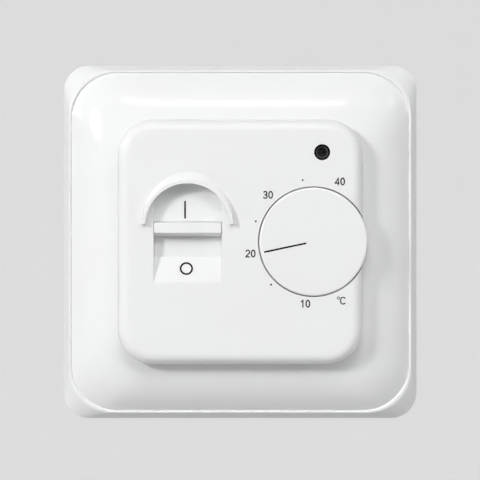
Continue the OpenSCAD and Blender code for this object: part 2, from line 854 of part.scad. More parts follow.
module switch_pin_places() {
    for (side = [-1, 1], z = [0, load_pad_z])
        translate([side * bridge_x, z, 0]) children();
}

module switch_contacts() {
    color("gold") upright() translate([pocket_x, switch_z, 0]) switch_pin_places() {
        block(-bridge_w / 2, bridge_w / 2, -pad_l / 2, pad_l / 2, pad_front - pad_t, pad_front);
        block(-pin_w / 2, pin_w / 2, -pin_w / 2, pin_w / 2, pad_front - pad_t / 2, board_front + pin_proud);
    }
}

module switch_carriage() {
    notch_z = switch_travel / 2;
    notch_w = notch_d * sqrt(2) + fit;
    color("ivory") upright() translate([pocket_x, stem_z, 0]) difference() {
        union() {
            block(-carriage_w / 2, carriage_w / 2, -carriage_l / 2, carriage_l / 2,
                carriage_back, carriage_front);
            block(-stem_w / 2, stem_w / 2, -stem_l / 2, stem_l / 2,
                carriage_front - fit, slider_back);
        }
        for (z = [-notch_z, notch_z])
            translate([0, z, carriage_back]) rotate([45, 0, 0])
                cube([spring_w + 1, notch_w, notch_w], center = true);
    }
}

module switch_bridges() {
    color("gold") upright() translate([pocket_x, stem_z, 0]) for (side = [-1, 1])
        block(side * bridge_x - bridge_w / 2, side * bridge_x + bridge_w / 2,
            -bridge_l / 2, bridge_l / 2, carriage_front, bridge_front);
}

// A bowed leaf whose crest clicks into the carriage's notches
module detent_spring() {
    foot = switch_back + switch_wall;
    crest = carriage_back - fit / 2;
    crest_w = 1;
    crest_h = 0.4;
    foot_l = 2;
    half_l = switch_l / 2 - switch_wall - 2 * carriage_play;
    color("silver") upright() translate([pocket_x, switch_z, 0]) rotate([90, 0, 90])
        linear_extrude(height = spring_w, center = true) polygon([
            [-half_l, foot], [-half_l + foot_l, foot], [-crest_w, crest - crest_h - spring_t],
            [0, crest - spring_t], [crest_w, crest - crest_h - spring_t],
            [half_l - foot_l, foot], [half_l, foot],
            [half_l, foot + spring_t], [half_l - foot_l, foot + spring_t], [crest_w, crest - crest_h],
            [0, crest], [-crest_w, crest - crest_h], [-half_l + foot_l, foot + spring_t],
            [-half_l, foot + spring_t]
        ]);
}

// ---------------------------------------------------------------- plate, tray and case

module wall_screw_places() {
    for (a = [0 : 90 : 270])
        rotate([0, 0, a]) translate([wall_screw_pitch / 2, 0, 0]) children();
}

module mounting_plate() {
    slot = (wall_slot_l - wall_slot_w) / 2;
    color("lightsteelblue") upright() difference() {
        rounded_plate(frame_w / 2 - plate_inset, plate_corner_r, 0, plate_t);
        translate([0, 0, -cut]) linear_extrude(height = plate_t + 2 * cut) opening_outline();
        wall_screw_places() {
            for (end = [-slot, slot]) rod(end, 0, wall_slot_w / 2, -cut, plate_t + cut);
            block(-slot, slot, -wall_slot_w / 2, wall_slot_w / 2, -cut, plate_t + cut);
        }
        case_screw_places() rod(0, 0, case_screw_d / 2 + fit, -cut, plate_t + cut);
    }
}

module case_screw_places() {
    for (a = [0 : 90 : 270])
        rotate([0, 0, a]) translate([case_screw_xy, case_screw_xy, 0]) children();
}

module case_screws() {
    color("silver") upright() case_screw_places()
        screw(case_screw_d / 2, case_screw_d / 2 + head_rim, case_screw_head_h,
            tray_floor_top - case_screw_l, tray_floor_top);
}

module front_tray() {
    color("whitesmoke") upright() difference() {
        union() {
            difference() {
                rounded_plate(tray_half, tray_corner_r, plate_t, tray_top);
                rounded_plate(tray_half - tray_wall, tray_corner_r - tray_wall, board_back, tray_top + cut);
                rounded_plate(tray_half - tray_wall - ledge_w, tray_corner_r - tray_wall - ledge_w,
                    tray_floor_top, tray_top + cut);
                linear_extrude(height = tray_top) opening_outline();
            }
            board_screw_places() rod(0, 0, board_boss_r, tray_floor_top, board_back);
            rod(dial_x, cover_screw_z, insert_boss_r, plate_t, well_back - fit);
        }
        board_screw_places() rod(0, 0, board_screw_d / 2, plate_t, board_back + cut);
        rod(dial_x, cover_screw_z, insert_r, well_back - fit - insert_l, well_back + cut);
        rod(dial_x, cover_screw_z, cover_screw_d / 2 + fit, plate_t + insert_seat_t, well_back + cut);
        case_screw_places() rod(0, 0, case_screw_d / 2 + fit, plate_t - cut, tray_floor_top + cut);
    }
}

// Outline of the rear case: rounded for the wall box, cut flat where the wires enter
module case_outline(shrink, bottom) {
    intersection() {
        rounded_square(case_w - 2 * shrink, case_w - 2 * shrink, case_corner_r - shrink);
        translate([-case_w, bottom]) square([2 * case_w, 2 * case_w]);
    }
}

module rear_case() {
    vent_count = 5;
    vent_pitch = 3.2;
    vent_w = 1.4;
    color("whitesmoke") upright() difference() {
        union() {
            difference() {
                union() {
                    rounded_plate(case_half, case_corner_r, step_front - step_t, 0);
                    translate([0, 0, case_back]) linear_extrude(height = case_depth)
                        case_outline(0, -chin_z);
                }
                rounded_plate(case_half - case_wall, case_inner_r, step_front, cut);
                translate([0, 0, case_inside_back]) linear_extrude(height = case_depth)
                    case_outline(case_wall, -chin_z + case_wall);
            }
            // Screw bosses that run into the corners
            intersection() {
                case_screw_places() {
                    rod(0, 0, case_boss_r, -case_boss_l, 0);
                    block(0, case_boss_r, 0, 2 * case_boss_r, -case_boss_l, 0);
                    block(0, 2 * case_boss_r, 0, case_boss_r, -case_boss_l, 0);
                }
                rounded_plate(case_half, case_corner_r, -case_boss_l, 0);
            }
            // Posts behind the power board, and nibs that it snaps in behind
            for (side = [-1, 1]) {
                rod(side * post_x, post_z, post_r, case_inside_back - fit, power_back);
                translate([side * (case_half - case_wall), 0, power_front + fit + nib / 2])
                    cube([2 * nib, 8 * nib, nib], center = true);
            }
        }
        case_screw_places() rod(0, 0, case_screw_d / 2, -case_boss_l + 1, cut);
        for (i = [0 : terminal_count - 1]) {
            rod(terminal_x(i), terminal_axis_z, head_r + 2 * fit, case_back - cut, case_inside_back + cut);
            block(terminal_x(i) - entry_w / 2, terminal_x(i) + entry_w / 2, -chin_z - cut,
                block_bottom_z + cut, bar_front, entry_front);
        }
        for (i = [0 : vent_count - 1])
            translate([(i - (vent_count - 1) / 2) * vent_pitch, case_half, case_back / 2])
                cube([vent_w, 4 * case_wall, 0.4 * case_depth], center = true);
    }
}

// ---------------------------------------------------------------- control board

// A hole through a board for a square pin
module pin_hole(w) {
    cube([w + fit, w + fit, 3 * case_depth], center = true);
}

module control_board() {
    color("darkgreen") upright() difference() {
        rounded_plate(board_half, board_corner_r, board_back, board_front);
        rod(dial_x, 0, bush_r + 2 * fit, board_back - cut, board_front + cut);
        rod(dial_x, cover_screw_z, insert_boss_r + 2 * fit, board_back - cut, board_front + cut);
        board_screw_places() rod(0, 0, board_screw_d / 2 + fit, board_back - cut, board_front + cut);
        translate([pocket_x, switch_z, 0]) {
            block(-stem_w / 2 - 2 * stem_play, stem_w / 2 + 2 * stem_play, -stem_reach - 2 * stem_play,
                stem_reach + 2 * stem_play, board_back - cut, board_front + cut);
            switch_pin_places() pin_hole(pin_w);
        }
        link_places() pin_hole(link_pin_w);
        chip_leg_places() pin_hole(chip_leg_w);
        transistor_leg_places() pin_hole(leg_w);
        resistor_places() resistor_leg_places() pin_hole(leg_w);
        potentiometer_pin_places() pin_hole(pin_w);
        for (side = [-1, 1]) translate([lens_x + side * lead_pitch, lens_z, 0]) pin_hole(lead_w);
    }
}

module board_screw_places() {
    for (side = [-1, 1]) translate([side * board_screw_x, -side * board_screw_z, 0]) children();
}

module board_screws() {
    color("silver") upright() board_screw_places()
        screw(board_screw_d / 2, board_screw_d / 2 + board_screw_head_rim, board_screw_head_h,
            tray_floor_top - 4 * fit, board_front);
}

module potentiometer_case() {
    color("dimgray") upright() translate([dial_x, 0, 0]) difference() {
        union() {
            block(-pot_w / 2, pot_w / 2, -pot_h / 2, pot_h / 2, pot_back + pot_base_t, pot_front);
            rod(0, 0, bush_r, pot_front - fit, bush_top);
        }
        rod(0, 0, shaft_d / 2 + shaft_gap, pot_back, bush_top + cut);
        rod(0, 0, rotor_r + rotor_play, pot_back, rotor_top + rotor_play);
    }
}

module potentiometer_base() {
    color("saddlebrown") upright() translate([dial_x, 0, 0]) {
        difference() {
            block(-pot_w / 2, pot_w / 2, -pot_h / 2, pot_pin_z + pin_w, pot_back, pot_back + pot_base_t);
            rod(0, 0, pivot_r + fit, pot_back - cut, pot_back + pot_base_t + cut);
        }
        difference() {
            rod(0, 0, track_r + track_w / 2, pot_back + pot_base_t, pot_back + pot_base_t + track_t);
            rod(0, 0, track_r - track_w / 2, pot_back, pot_front);
            block(-track_gap_w / 2, track_gap_w / 2, -pot_h, 0, pot_back + pot_base_t, pot_front);
        }
    }
}

module potentiometer_pin_places() {
    for (i = [-1 : 1])
        translate([dial_x + i * link_pitch, pot_pin_z, 0]) children();
}

module potentiometer_pins() {
    color("silver") upright() potentiometer_pin_places()
        block(-pin_w / 2, pin_w / 2, -pin_w / 2, pin_w / 2, pot_back + pot_base_t, board_front + pin_proud);
}

module potentiometer_shaft() {
    flat = shaft_d / 2 - shaft_flat_d;
    color("whitesmoke") upright() translate([dial_x, 0, 0]) difference() {
        union() {
            rod(0, 0, shaft_d / 2, rotor_top - fit, shaft_top);
            rod(0, 0, rotor_r, rotor_top - rotor_t, rotor_top);
            rod(0, 0, pivot_r, pot_back, rotor_top);
        }
        rotate([0, 0, pointer_angle])
            block(flat, shaft_d, -shaft_d, shaft_d, bush_top + 2 * fit, shaft_top + cut);
    }
}

// A brass spider that the rotor turns over the resistance track
module potentiometer_wiper() {
    top = rotor_top - rotor_t;
    tip = pot_back + pot_base_t + track_t + fit;
    color("gold") upright() translate([dial_x, 0, 0]) rotate([0, 0, pointer_angle]) {
        difference() {
            rod(0, 0, track_r + wiper_t, top - wiper_t, top);
            rod(0, 0, pivot_r + 2 * fit, top - cut, top + cut);
        }
        block(track_r - wiper_t, track_r + wiper_t, -track_w / 2, track_w / 2, tip, top - fit);
    }
}

module chip_place() {
    translate(chip_at) children();
}

module chip_leg_places() {
    chip_place() for (i = [0 : chip_pins - 1], side = [-1, 1])
        translate([(i - (chip_pins - 1) / 2) * link_pitch, side * chip_row / 2, 0]) children();
}

module control_chip() {
    back = board_front + chip_standoff;
    front = back + chip_size[2];
    half_l = chip_size[0] / 2;
    half_w = chip_size[1] / 2;
    notch_r = chip_size[1] / 8;
    color([0.08, 0.08, 0.09]) upright() chip_place() difference() {
        block(-half_l, half_l, -half_w, half_w, back, front);
        rod(-half_l, 0, notch_r, front - notch_r, front + cut);
    }
}

module chip_legs() {
    shoulder = board_front + chip_standoff + chip_size[2] / 2;
    reach = (chip_row - chip_size[1] + chip_leg_w) / 2;
    half = chip_leg_w / 2;
    color("silver") upright() {
        chip_leg_places() block(-half, half, -half, half, board_back - pin_proud, shoulder);
        chip_place() for (i = [0 : chip_pins - 1], side = [-1, 1])
            translate([(i - (chip_pins - 1) / 2) * link_pitch, side * (chip_size[1] + reach) / 2,
                shoulder - half]) cube([chip_leg_w, reach, chip_leg_w], center = true);
    }
}

module resistor_places() {
    for (i = [0 : resistor_count - 1])
        translate([pocket_x + (i - 1.5) * resistor_pitch, resistor_row_z, board_front + resistor_r])
            children();
}

module resistor_leg_places() {
    for (side = [-1, 1]) translate([0, side * resistor_span / 2, 0]) children();
}

module resistors() {
    cap_l = resistor_l / 4;
    half = leg_w / 2;
    color("burlywood") upright() resistor_places() {
        rotate([90, 0, 0]) {
            cylinder(r = 0.8 * resistor_r, h = resistor_l - cap_l, center = true);
            for (end = [-1, 1])
                translate([0, 0, end * (resistor_l - cap_l) / 2])
                    cylinder(r = resistor_r, h = cap_l, center = true);
        }
        resistor_leg_places() block(-half, half, -half, half, board_back - pin_proud - board_front, 0);
        cube([leg_w, resistor_span, leg_w], center = true);
    }
}

module transistor_place() {
    translate(transistor_at) children();
}

module transistor_leg_places() {
    transistor_place() for (i = [-1 : 1]) translate([i * link_pitch / 2, 0, 0]) children();
}

module relay_transistor() {
    back = board_front + transistor_lift;
    half = leg_w / 2;
    color([0.08, 0.08, 0.09]) upright() {
        transistor_place() difference() {
            rod(0, 0, transistor_r, back, back + transistor_h);
            block(-2 * transistor_r, 2 * transistor_r, -2 * transistor_r, -0.6 * transistor_r,
                board_front, back + 2 * transistor_h);
        }
        transistor_leg_places() block(-half, half, -half, half, board_back - pin_proud, back + half);
    }
}

module trimmer_place() {
    translate(trimmer_at) children();
}

module calibration_trimmer() {
    half = trimmer_w / 2;
    front = board_front + trimmer_h;
    color("royalblue") upright() trimmer_place() difference() {
        block(-half, half, -half, half, board_front, front);
        rod(0, 0, trimmer_rotor_r + turning_gap, board_front + trimmer_seat, front + cut);
        rod(0, 0, trimmer_hub_r + turning_gap, board_front + trimmer_foot, front + cut);
    }
}

module trimmer_rotor() {
    front = board_front + trimmer_h + fit;
    seat = board_front + trimmer_seat + fit;
    slot_l = 0.7 * trimmer_rotor_r;
    slot_w = trimmer_slot_w / 2;
    color("whitesmoke") upright() trimmer_place() difference() {
        union() {
            rod(0, 0, trimmer_rotor_r, seat, front);
            rod(0, 0, trimmer_hub_r, board_front + trimmer_foot + fit, seat + fit);
        }
        block(-slot_l, slot_l, -slot_w, slot_w, (seat + front) / 2, front + cut);
    }
}

module link_places() {
    for (i = [0 : link_count - 1])
        translate([(i - (link_count - 1) / 2) * link_pitch, link_z, 0]) children();
}

module link_pins() {
    half = link_pin_w / 2;
    color("gold") upright() link_places()
        block(-half, half, -half, half, power_back - pin_proud, board_front + pin_proud);
}

module link_strips() {
    half_l = link_count * link_pitch / 2;
    half_w = link_strip_w / 2;
    color([0.08, 0.08, 0.09]) upright() difference() {
        translate([0, link_z, 0]) {
            block(-half_l, half_l, -half_w, half_w, board_back - link_strip_w, board_back);
            block(-half_l, half_l, -half_w, half_w, power_front, power_front + link_strip_w);
        }
        link_places() cube([link_pin_w, link_pin_w, 2 * case_w], center = true);
    }
}

// ---------------------------------------------------------------- power board

module power_board() {
    color("darkgreen") upright() difference() {
        rounded_plate(power_half, power_corner_r, power_back, power_front);
        link_places() pin_hole(link_pin_w);
        for (i = [0 : terminal_count - 1])
            translate([terminal_x(i), pin_z, power_front])
                cube([bar_pin_w + fit, bar_t + fit, 3 * board_t], center = true);
    }
}

module on_power_board(at) {
    translate([at[0], at[1], power_front]) children();
}

// The relay is drawn with its length along x, and turned so that its length runs upwards
module on_relay() {
    on_power_board([relay_x + relay_w, relay_z]) rotate([0, 0, 90]) children();
}

module relay_base() {
    color([0.1, 0.1, 0.12]) upright() on_relay() difference() {
        block(relay_wall + fit, relay_l - relay_wall - fit, relay_wall + fit, relay_w - relay_wall - fit,
            0, relay_base_t);
        translate([contact_post_u, relay_w / 2, 0])
            cube([relay_pin_t + fit, contact_w + fit, 4 * relay_base_t], center = true);
    }
}

module relay_cover() {
    color("steelblue") upright() on_relay() difference() {
        block(0, relay_l, 0, relay_w, 0, relay_h);
        block(relay_wall, relay_l - relay_wall, relay_wall, relay_w - relay_wall,
            -cut, relay_h - relay_wall);
    }
}

module relay_coil() {
    color("chocolate") upright() on_relay() translate([coil_u, relay_w / 2, 0])
        rotate_extrude() {
            translate([coil_bore_r, coil_foot]) square([coil_r - coil_bore_r, coil_head - coil_foot]);
            for (z = [coil_foot, coil_head - coil_flange_t])
                translate([coil_bore_r, z]) square([coil_flange_r - coil_bore_r, coil_flange_t]);
        }
}

module relay_yoke() {
    middle = relay_w / 2;
    color("silver") upright() on_relay() {
        rod(coil_u, middle, core_r, relay_base_t, pole_h);
        rod(coil_u, middle, pole_r, coil_head, pole_h);
        block(yoke_u, coil_u, middle - yoke_w / 2, middle + yoke_w / 2, relay_base_t, coil_foot);
        block(yoke_u, yoke_u + yoke_t, middle - yoke_w / 2, middle + yoke_w / 2, relay_base_t, pole_h);
    }
}

// Parts that swing with the armature are drawn closed, then opened about the hinge line
module armature_pose() {
    on_relay() translate([yoke_u, relay_w / 2, pole_h + fit])
        rotate([0, -armature_open, 0]) children();
}

module relay_armature() {
    color("silver") upright() armature_pose()
        block(armature_from - yoke_u, armature_to - yoke_u, -yoke_w / 2, yoke_w / 2, 0, armature_t);
}

module relay_contact_leaf() {
    color("gold") upright() armature_pose() {
        block(armature_to - yoke_u - leaf_lap, leaf_to - yoke_u, -leaf_w / 2, leaf_w / 2,
            armature_t, armature_t + leaf_t);
        rod(button_u - yoke_u, 0, button_r, armature_t - button_t, armature_t + fit);
    }
}

module relay_contacts() {
    middle = relay_w / 2;
    strip_top = fixed_button_top - button_t;
    post_end = contact_post_u + relay_pin_t / 2;
    color("gold") upright() on_relay() {
        rod(button_u, middle, button_r, strip_top - fit, fixed_button_top);
        block(button_u - button_r - 2 * leaf_t, post_end, middle - contact_w / 2, middle + contact_w / 2,
            strip_top - relay_pin_t, strip_top);
        block(post_end - relay_pin_t, post_end, middle - contact_w / 2, middle + contact_w / 2, 0, strip_top);
    }
}

module film_capacitor() {
    below_links = link_strip_w / 2 + opening_play;
    color("gold") upright() on_power_board([relay_x, link_z - below_links - film_size[1]])
        difference() {
        cube(film_size);
        block(film_rim, film_size[0] - film_rim, film_rim, film_size[1] - film_rim, -cut, film_recess);
    }
}

// Stands in the room behind the mains switch
module smoothing_capacitor() {
    h = switch_back - power_front - opening_play;
    bead = 0.1 * electrolytic_r;
    color([0.1, 0.12, 0.3]) upright() on_power_board([pocket_x, -electrolytic_r]) rotate_extrude() {
        square([electrolytic_r - bead, h]);
        translate([0, bead]) square([electrolytic_r, h - 5 * bead]);
        translate([0, h - 3 * bead]) square([electrolytic_r, 2 * bead]);
    }
}

module rectifier_diodes() {
    color([0.08, 0.08, 0.09]) upright() for (i = [0 : diode_count - 1])
        on_power_board([pocket_x + (i - (diode_count - 1) / 2) * resistor_pitch, diode_row_z])
            translate([0, 0, diode_r]) {
                rotate([90, 0, 0]) cylinder(r = diode_r, h = diode_l, center = true);
                cube([leg_w, diode_span, leg_w], center = true);
                for (side = [-1, 1])
                    translate([0, side * (diode_span - leg_w) / 2, -diode_r / 2])
                        cube([leg_w, leg_w, diode_r], center = true);
            }
}

module varistor() {
    lift = varistor_r + varistor_lift;
    color("dodgerblue") upright() on_power_board(varistor_at) translate([0, 0, lift]) rotate([0, 90, 0]) {
        cylinder(r = varistor_r, h = varistor_t, center = true);
        for (side = [-1, 1])
            translate([(lift + varistor_r / 3) / 2, side * varistor_r / 2, 0])
                cube([lift - varistor_r / 3, leg_w, leg_w], center = true);
    }
}

// ---------------------------------------------------------------- terminals

module terminal_block() {
    color("whitesmoke") upright() difference() {
        block(-terminal_half, terminal_half, block_bottom_z, block_top_z, block_back, power_back);
        for (i = [0 : terminal_count - 1]) translate([terminal_x(i), 0, 0]) {
            block(-cage_w / 2 - cage_gap, cage_w / 2 + cage_gap, terminal_axis_z - cage_l / 2 - cage_gap,
                terminal_axis_z + cage_l / 2 + cage_gap, cage_back - clamp_travel - cage_gap,
                cage_front + cage_gap);
            block(-entry_w / 2, entry_w / 2, block_bottom_z - cut, terminal_axis_z, bar_front, entry_front);
            rod(0, terminal_axis_z, head_r + fit, block_back - cut, head_back + head_h + fit);
            rod(0, terminal_axis_z, thread_r + fit, block_back, cage_back);
            block(-bar_w / 2 - fit, bar_w / 2 + fit, terminal_axis_z, pin_z + bar_t, bar_back,
                bar_front + fit);
            block(-bar_pin_w / 2 - fit, bar_pin_w / 2 + fit, pin_z - bar_t / 2 - fit,
                pin_z + bar_t / 2 + fit, bar_back, power_back + cut);
        }
    }
}

module terminal_bars() {
    color("peru") upright() for (i = [0 : terminal_count - 1]) translate([terminal_x(i), 0, 0]) {
        block(-bar_w / 2, bar_w / 2, terminal_axis_z - cage_l / 2 + bar_lap, pin_z + bar_t / 2,
            bar_back, bar_front);
        block(-bar_pin_w / 2, bar_pin_w / 2, pin_z - bar_t / 2, pin_z + bar_t / 2, bar_back, power_front);
    }
}

module terminal_clamp(i) {
    color("silver") upright() translate([terminal_x(i), 0, 0]) difference() {
        block(-cage_w / 2, cage_w / 2, terminal_axis_z - cage_l / 2, terminal_axis_z + cage_l / 2,
            cage_back, cage_front);
        block(-cage_w / 2 + cage_side, cage_w / 2 - cage_side, terminal_axis_z - cage_l,
            terminal_axis_z + cage_l, cage_back + cage_wall, cage_front - cage_wall);
        rod(0, terminal_axis_z, thread_r + turning_gap, cage_back - cut, cage_back + cage_wall + cut);
    }
}

module terminal_screw(i) {
    color("silver") upright() translate([terminal_x(i), terminal_axis_z, 0]) difference() {
        union() {
            rod(0, 0, head_r, head_back, head_back + head_h);
            rod(0, 0, thread_r, head_back + head_h - fit, bar_back - fit);
        }
        block(-2 * head_r, 2 * head_r, -head_slot_w / 2, head_slot_w / 2, head_back - cut,
            head_back + head_slot_d);
    }
}

trim_frame();
front_cover();
setting_dial();
cover_screw();
cover_insert();
indicator_lens();
indicator_leads();
indicator_spacer();
switch_slider();
mounting_plate();
front_tray();
control_board();
board_screws();
potentiometer_case();
potentiometer_base();
potentiometer_pins();
potentiometer_shaft();
potentiometer_wiper();
switch_case();
switch_carriage();
switch_bridges();
switch_contacts();
detent_spring();
control_chip();
chip_legs();
resistors();
relay_transistor();
calibration_trimmer();
trimmer_rotor();
link_pins();
link_strips();
power_board();
relay_cover();
relay_base();
relay_coil();
relay_yoke();
relay_armature();
relay_contact_leaf();
relay_contacts();
film_capacitor();
smoothing_capacitor();
rectifier_diodes();
varistor();
terminal_block();
terminal_bars();
terminal_clamp(0);  // terminal_clamp_1
terminal_clamp(1);  // terminal_clamp_2
terminal_clamp(2);  // terminal_clamp_3
terminal_clamp(3);  // terminal_clamp_4
terminal_clamp(4);  // terminal_clamp_5
terminal_clamp(5);  // terminal_clamp_6
terminal_screw(0);  // terminal_screw_1
terminal_screw(1);  // terminal_screw_2
terminal_screw(2);  // terminal_screw_3
terminal_screw(3);  // terminal_screw_4
terminal_screw(4);  // terminal_screw_5
terminal_screw(5);  // terminal_screw_6
rear_case();
case_screws();
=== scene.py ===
import bpy, bmesh, json, math
from mathutils import Vector, Matrix


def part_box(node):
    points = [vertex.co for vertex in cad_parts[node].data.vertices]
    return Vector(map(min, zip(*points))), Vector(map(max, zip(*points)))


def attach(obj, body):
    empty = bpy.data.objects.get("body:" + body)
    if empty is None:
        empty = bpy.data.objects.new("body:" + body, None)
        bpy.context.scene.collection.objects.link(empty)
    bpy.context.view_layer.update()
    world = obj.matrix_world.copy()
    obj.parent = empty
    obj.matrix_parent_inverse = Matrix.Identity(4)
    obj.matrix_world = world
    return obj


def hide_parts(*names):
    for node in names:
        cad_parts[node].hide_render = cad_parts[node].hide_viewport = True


# Wall thermostat: materials, fine shapes, print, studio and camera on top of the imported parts.
# Shapes are given in mm as (x to the right, up, out from the wall) and placed by at().

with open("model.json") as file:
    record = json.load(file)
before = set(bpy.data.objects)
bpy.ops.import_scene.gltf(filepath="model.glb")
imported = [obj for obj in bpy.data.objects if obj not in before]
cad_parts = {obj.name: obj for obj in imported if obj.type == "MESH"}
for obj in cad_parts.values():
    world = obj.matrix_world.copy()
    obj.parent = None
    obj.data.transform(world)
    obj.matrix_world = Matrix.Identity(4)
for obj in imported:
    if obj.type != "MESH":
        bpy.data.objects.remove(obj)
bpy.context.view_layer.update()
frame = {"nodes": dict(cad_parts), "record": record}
nodes = frame["nodes"]
# A millimetre in the scene's metres, and a length that counts as nothing
MM = 0.001
TINY = 1e-6


# ------------------------------------------------------------------ materials
# The part of a noise's range that colour and gloss follow
NOISE_LOW, NOISE_HIGH = 0.3, 0.7


def linear(colour):
    """Screen (sRGB) values turned into the linear values that shaders take."""
    return tuple(v / 12.92 if v <= 0.04045 else ((v + 0.055) / 1.055) ** 2.4 for v in colour) + (1.0,)


def seen_strength(tree, direct, mirrored, other):
    """A strength for camera rays, one for glossy and transmission rays, and one for all the rest."""
    path = tree.nodes.new("ShaderNodeLightPath")
    strength = None
    rays = (("Is Camera Ray", direct), ("Is Glossy Ray", mirrored), ("Is Transmission Ray", mirrored))
    for kind, value in rays:
        share = tree.nodes.new("ShaderNodeMath")
        share.operation = "MULTIPLY"
        share.inputs[1].default_value = value
        tree.links.new(path.outputs[kind], share.inputs[0])
        most = tree.nodes.new("ShaderNodeMath")
        most.operation = "MAXIMUM"
        most.inputs[0].default_value = other
        if strength:
            tree.links.new(strength, most.inputs[0])
        tree.links.new(share.outputs["Value"], most.inputs[1])
        strength = most.outputs["Value"]
    return strength


class Look:
    """A procedural material, built up step by step on one Principled shader.

    Radii and depths are in metres, and a noise's scale is the number of its waves in a metre.
    """

    def __init__(self, name, colour, rough, metal=0.0, spec=0.5):
        self.material = bpy.data.materials.new(name)
        self.material.use_nodes = True
        self.tree = self.material.node_tree
        self.nodes, self.links = self.tree.nodes, self.tree.links
        self.shader = self.nodes["Principled BSDF"]
        self.colour = linear(colour)
        self.set("Base Color", self.colour)
        self.set("Roughness", rough)
        self.set("Metallic", metal)
        self.set("Specular IOR Level", spec)
        self.material.diffuse_color = self.colour
        self.place = self.nodes.new("ShaderNodeTexCoord").outputs["Object"]
        self.normal = None

    def set(self, socket, value):
        self.shader.inputs[socket].default_value = value

    def join(self, output, socket):
        self.links.new(output, self.shader.inputs[socket])

    def bend(self, output):
        """Makes this the normal that the shader and later steps use."""
        self.normal = output
        self.join(output, "Normal")

    def stretch(self, scale):
        node = self.nodes.new("ShaderNodeMapping")
        node.inputs["Scale"].default_value = scale
        self.links.new(self.place, node.inputs["Vector"])
        return node.outputs["Vector"]

    def noise(self, scale, detail=3.0, rough=0.5, place=None):
        node = self.nodes.new("ShaderNodeTexNoise")
        node.inputs["Scale"].default_value = scale
        node.inputs["Detail"].default_value = detail
        node.inputs["Roughness"].default_value = rough
        self.links.new(place or self.place, node.inputs["Vector"])
        return node.outputs["Fac"]

    def vary_colour(self, mask, amount, tint=(1, 1, 1)):
        """Mixes the colour with a darker, tinted one by the mask."""
        dark = tuple(v * (1 - amount) * t for v, t in zip(self.colour, tint)) + (1.0,)
        node = self.nodes.new("ShaderNodeValToRGB")
        steps = zip(node.color_ramp.elements, (NOISE_LOW, NOISE_HIGH), (dark, self.colour))
        for stop, position, colour in steps:
            stop.position = position
            stop.color = colour
        self.links.new(mask, node.inputs["Fac"])
        self.join(node.outputs["Color"], "Base Color")

    def vary_rough(self, mask, least, most):
        node = self.nodes.new("ShaderNodeMapRange")
        node.inputs["From Min"].default_value = NOISE_LOW
        node.inputs["From Max"].default_value = NOISE_HIGH
        node.inputs["To Min"].default_value = least
        node.inputs["To Max"].default_value = most
        self.links.new(mask, node.inputs["Value"])
        self.join(node.outputs["Result"], "Roughness")

    def bevel(self, radius, samples=6):
        node = self.nodes.new("ShaderNodeBevel")
        node.samples = samples
        node.inputs["Radius"].default_value = radius
        self.bend(node.outputs["Normal"])

    def bump(self, height, depth, strength=1.0):
        node = self.nodes.new("ShaderNodeBump")
        node.inputs["Distance"].default_value = depth
        node.inputs["Strength"].default_value = strength
        self.links.new(height, node.inputs["Height"])
        if self.normal:
            self.links.new(self.normal, node.inputs["Normal"])
        self.bend(node.outputs["Normal"])

    def coat(self, weight, rough):
        self.set("Coat Weight", weight)
        self.set("Coat Roughness", rough)

    def glow_when_seen(self, value):
        """Shows an even paper tone to the camera, in reflections and through clear parts."""
        self.set("Emission Color", (1.0, 1.0, 1.0, 1.0))
        self.join(seen_strength(self.tree, value, value, 0.0), "Emission Strength")


def moulded(name, colour, rough, edge=0.00012, grain=3500, depth=0.000002):
    """Moulded plastic: a soft edge, very fine grain, faint flow marks and a slightly uneven gloss."""
    look = Look(name, colour, rough)
    look.bevel(edge)
    look.bump(look.noise(grain, detail=4), depth=depth, strength=0.6)
    look.bump(look.noise(90, detail=2), depth=0.000012, strength=0.25)
    look.vary_colour(look.noise(60, detail=3, rough=0.6), amount=0.012, tint=(1.0, 1.0, 0.99))
    look.vary_rough(look.noise(140, detail=4, rough=0.6), rough * 0.88, rough * 1.15)
    return look


def metal(name, colour, rough, brush):
    """Rolled or drawn metal: brush lines, spotted gloss and slight staining."""
    look = Look(name, colour, rough, metal=1.0)
    look.bevel(0.00006, samples=4)
    lines = look.noise(4200, detail=5, rough=0.65, place=look.stretch(brush))
    look.bump(lines, depth=0.000006, strength=0.5)
    look.vary_colour(look.noise(420, detail=5, rough=0.6), amount=0.16, tint=(1.0, 0.98, 0.95))
    look.vary_rough(look.noise(900, detail=4, rough=0.55), rough * 0.7, rough * 1.5)
    return look


def board():
    """Green laminate: woven cloth under lacquer, with copper areas showing faintly through."""
    look = Look("board_laminate", (0.09, 0.36, 0.20), 0.32)
    look.bevel(0.00008, samples=4)
    weave = look.nodes.new("ShaderNodeTexWave")
    weave.inputs["Scale"].default_value = 700
    weave.inputs["Distortion"].default_value = 1.5
    look.links.new(look.place, weave.inputs["Vector"])
    copper = look.nodes.new("ShaderNodeTexBrick")
    copper.inputs["Scale"].default_value = 95
    copper.inputs["Mortar Size"].default_value = 0.03
    copper.inputs["Color1"].default_value = linear((0.07, 0.31, 0.16))
    copper.inputs["Color2"].default_value = linear((0.13, 0.44, 0.24))
    copper.inputs["Mortar"].default_value = linear((0.05, 0.25, 0.13))
    look.links.new(look.stretch((1.0, 1.0, 0.7)), copper.inputs["Vector"])
    look.join(copper.outputs["Color"], "Base Color")
    look.bump(weave.outputs["Fac"], depth=0.000008, strength=0.4)
    look.bump(look.noise(500), depth=0.00001, strength=0.3)
    look.coat(0.4, 0.15)
    return look


